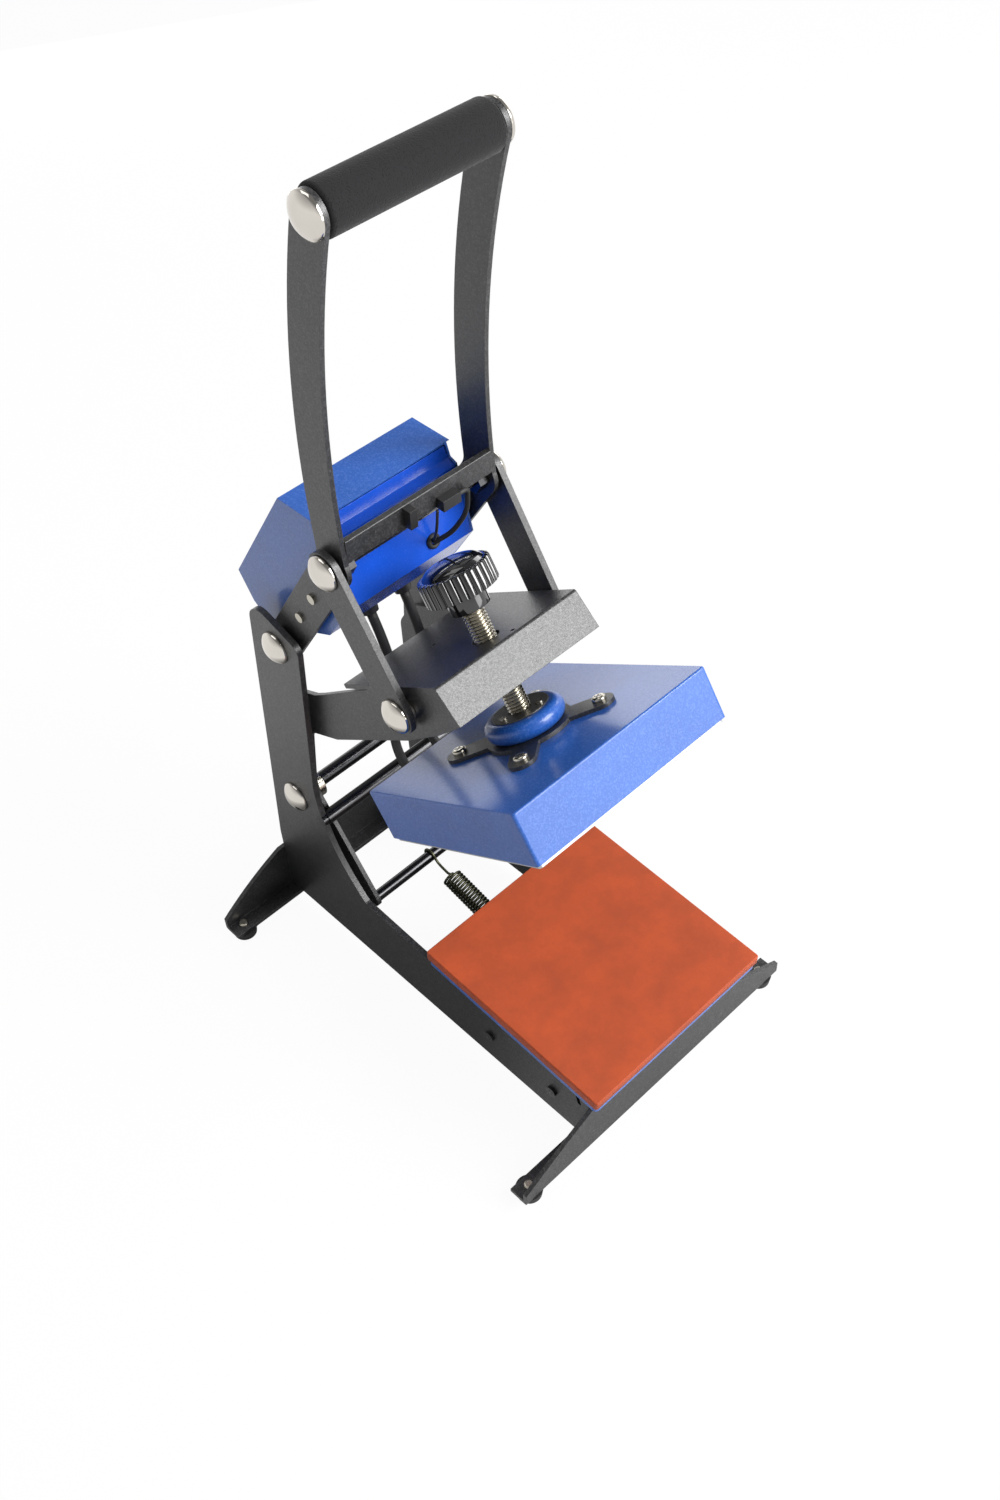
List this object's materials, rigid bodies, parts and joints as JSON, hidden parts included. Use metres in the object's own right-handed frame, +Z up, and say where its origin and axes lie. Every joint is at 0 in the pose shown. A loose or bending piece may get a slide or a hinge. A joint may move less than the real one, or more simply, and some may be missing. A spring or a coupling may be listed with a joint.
{
  "type": "mini label heat press",
  "caption": "Small hand-operated heat press for labels, standing open: tilted square heat platen over an orange silicone pad, toggle handle, pressure knob and blue control box.",
  "frame": {"origin": "on the table, under the middle of the press's bounding box", "axes": "+Z up, -Y towards the operator, +X to the operator's right"},
  "size_m": [0.244, 0.3236, 0.5992],
  "materials": {
    "blue_powder_coat": "satin sparkle powder coat",
    "black_powder_coat": "fine textured powder coat",
    "navy_panel": "smooth gloss coat",
    "chrome_caps": "polished",
    "zinc_steel": "bright zinc",
    "bright_rod": "ground bright",
    "aluminium_plate": "machined",
    "silicone": "matt orange silicone",
    "rubber": "matt",
    "foam": "matt foam",
    "black_plastic": "gloss",
    "matt_plastic": "matt",
    "button_plastic": "satin",
    "spring_steel": "dark oiled",
    "board": "laminate",
    "insulation": "ceramic wool",
    "black_screws": "black oxide",
    "display_glass": "dark gloss"
  },
  "bodies": {
    "base": {"frame_plate_left": "black_powder_coat", "frame_plate_right": "black_powder_coat", "front_leg_bar": "black_powder_coat", "rear_leg_bar": "black_powder_coat", "rubber_feet": "rubber", "foot_screws": "zinc_steel", "lower_platen": "blue_powder_coat", "silicone_pad": "silicone", "platen_bracket": "black_powder_coat", "bracket_screws": "black_screws", "handle_axle": "bright_rod", "arm_axle": "bright_rod", "stop_rod": "bright_rod", "axle_caps": "chrome_caps", "axle_spacers": "zinc_steel", "return_spring": "spring_steel", "spring_anchor": "zinc_steel"},
    "handle": {"handle_bar_left": "black_powder_coat", "handle_bar_right": "black_powder_coat", "grip_tube": "bright_rod", "foam_grip": "foam", "grip_bolts": "chrome_caps", "cross_bar": "black_powder_coat", "link_rod": "bright_rod", "link_rod_nuts": "zinc_steel", "link_caps": "chrome_caps", "control_box_cover": "blue_powder_coat", "control_box_panel": "navy_panel", "cable_glands": "matt_plastic", "box_mount_screws": "zinc_steel", "display_window": "display_glass", "controller_board": "board", "power_inlet": "matt_plastic", "power_switch_frame": "matt_plastic", "limit_switch": "matt_plastic", "sensor_lead": "rubber", "platen_leads": "rubber"},
    "links": {"link_left": "black_powder_coat", "link_right": "black_powder_coat", "link_pins": "chrome_caps"},
    "arm": {"arm_beam": "black_powder_coat", "spindle_nut": "zinc_steel", "arm_bushes": "zinc_steel", "link_nuts": "zinc_steel", "spring_rod": "bright_rod", "spring_hook_plug": "zinc_steel"},
    "platen": {"platen_cover": "blue_powder_coat", "heat_plate": "aluminium_plate", "heating_element": "zinc_steel", "insulation_pad": "insulation", "spider_bracket": "black_powder_coat", "platen_screws": "zinc_steel", "bearing_ring": "blue_powder_coat", "bearing_disc": "black_powder_coat"},
    "spindle": {"pressure_spindle": "zinc_steel", "pressure_knob": "black_plastic"},
    "set_key": {"set_button": "button_plastic"},
    "down_key": {"down_button": "button_plastic"},
    "up_key": {"up_button": "button_plastic"},
    "mains_rocker": {"power_switch": "matt_plastic"}
  },
  "joints": [
    {"name": "handle_pull", "type": "hinge", "parent": "base", "child": "handle", "pos_m": [0, 0.11412, 0.2764], "axis": [1, 0, 0], "range_deg": [0, 81.95]},
    {"name": "link_turn", "type": "hinge", "parent": "handle", "child": "links", "pos_m": [0, 0.05162, 0.372], "axis": [1, 0, 0], "range_deg": [-114.9, 0.1]},
    {"name": "arm_swing", "type": "hinge", "parent": "base", "child": "arm", "pos_m": [0, 0.12582, 0.1306], "axis": [1, 0, 0], "range_deg": [-0.1, 37.03], "stiffness_Nm_per_rad": 8, "springref_deg": -74.48, "deforming": ["return_spring", "spring_hook_plug", "platen_leads"]},
    {"name": "platen_press", "type": "slide", "parent": "arm", "child": "platen", "axis": [0, -0.5476, -0.8368], "range_m": [0, 0.01]},
    {"name": "spindle_turn", "type": "hinge", "parent": "platen", "child": "spindle", "pos_m": [0, -0.03858, 0.267], "axis": [0, 0.5476, 0.8368], "range_deg": [-1801, 1]},
    {"name": "set_press", "type": "slide", "parent": "handle", "child": "set_key", "axis": [0, -0.8316, -0.5554], "range_m": [0, 0.0008], "stiffness_N_per_m": 500, "springref_m": -0.0006},
    {"name": "down_press", "type": "slide", "parent": "handle", "child": "down_key", "axis": [0, -0.8316, -0.5554], "range_m": [0, 0.0008], "stiffness_N_per_m": 500, "springref_m": -0.0006},
    {"name": "up_press", "type": "slide", "parent": "handle", "child": "up_key", "axis": [0, -0.8316, -0.5554], "range_m": [0, 0.0008], "stiffness_N_per_m": 500, "springref_m": -0.0006},
    {"name": "rocker_tilt", "type": "hinge", "parent": "handle", "child": "mains_rocker", "pos_m": [0.0484, 0.09015, 0.36241], "axis": [0, -0.837, -0.5472], "range_deg": [0, 8]}
  ],
  "couplings": [
    {"joint": "arm_swing", "follows": "handle_pull", "ratio": 0.45064},
    {"joint": "link_turn", "follows": "handle_pull", "ratio": -1.4009},
    {"joint": "spindle_turn", "follows": "platen_press", "rad_per_m": -3141.6}
  ]
}
